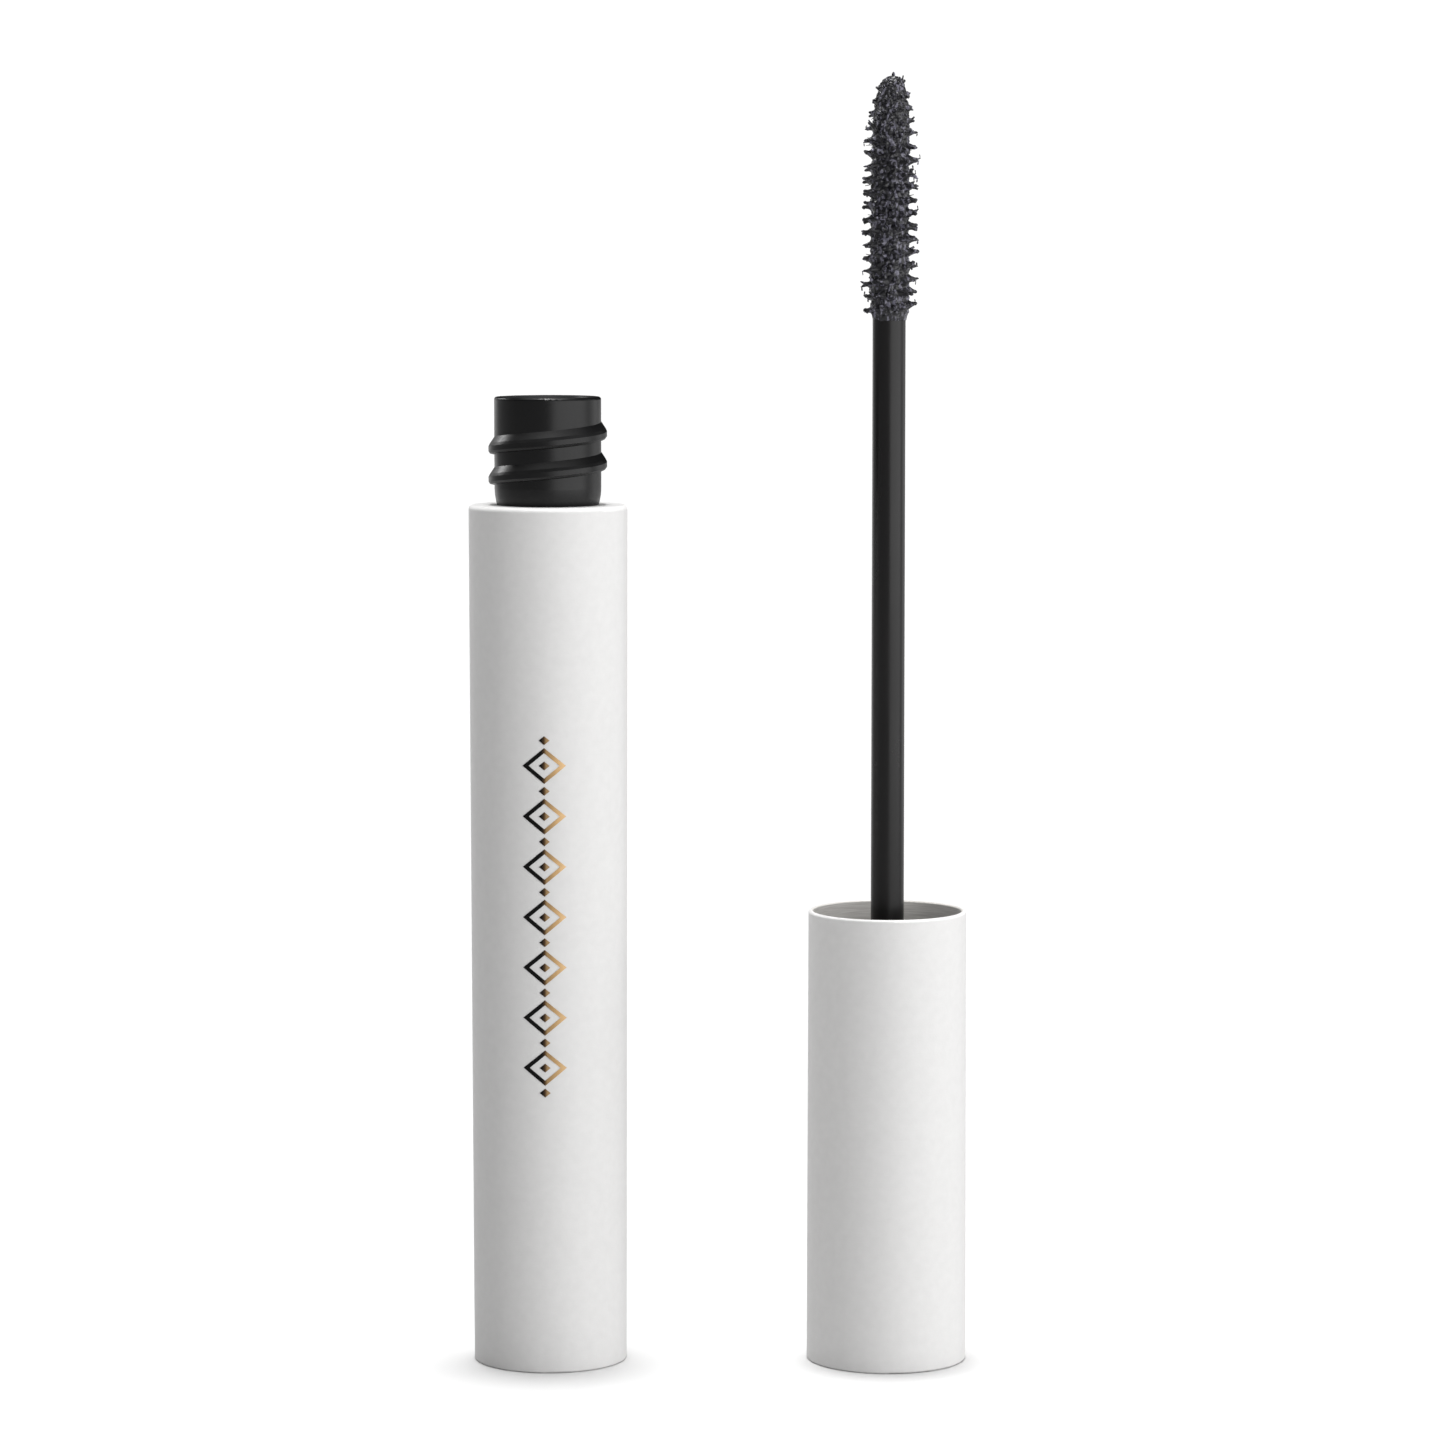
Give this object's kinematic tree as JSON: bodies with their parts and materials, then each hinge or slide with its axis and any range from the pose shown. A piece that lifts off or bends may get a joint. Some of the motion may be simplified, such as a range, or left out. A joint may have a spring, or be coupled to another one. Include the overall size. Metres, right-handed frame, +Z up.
{
  "type": "mascara tube",
  "caption": "Slim round mascara tube with a threaded neck; its cap stands inverted beside it with the stem and brush upright, and can lift and turn.",
  "frame": {"origin": "centre of the tube's foot, on the surface it stands on", "axes": "+Z up along the tube, towards its neck; +X towards the applicator standing beside it; the foil trim faces -Y"},
  "size_m": [0.0511, 0.0164, 0.1324],
  "materials": {
    "white_shell": "matte",
    "black_bottle": "satin",
    "wiper_elastomer": "satin",
    "white_plug": "matte",
    "paper_label": "matte",
    "mascara": "gloss",
    "foil": "polished",
    "black_liner": "satin",
    "gasket_foam": "matte",
    "steel": "satin",
    "black_stem": "satin",
    "bristles": "matte"
  },
  "bodies": {
    "tube": {"tube_sleeve": "white_shell", "inner_bottle": "black_bottle", "wiper": "wiper_elastomer", "base_plug": "white_plug", "base_label": "paper_label", "mascara_fill": "mascara", "foil_trim": "foil"},
    "applicator_core": {"cap_weight": "steel", "sealing_gasket": "gasket_foam"},
    "applicator": {"cap_sleeve": "white_shell", "cap_liner": "black_liner", "wand_stem": "black_stem", "brush_wire": "steel", "brush_bristles": "bristles"}
  },
  "joints": [
    {"name": "applicator_lift", "type": "slide", "parent": "tube", "child": "applicator_core", "axis": [0, 0, 1], "range_m": [0, 0.0857]},
    {"name": "cap_turn", "type": "hinge", "parent": "applicator_core", "child": "applicator", "pos_m": [0.03475, 0, 0], "axis": [0, 0, -1], "range_deg": [0, 540]}
  ]
}
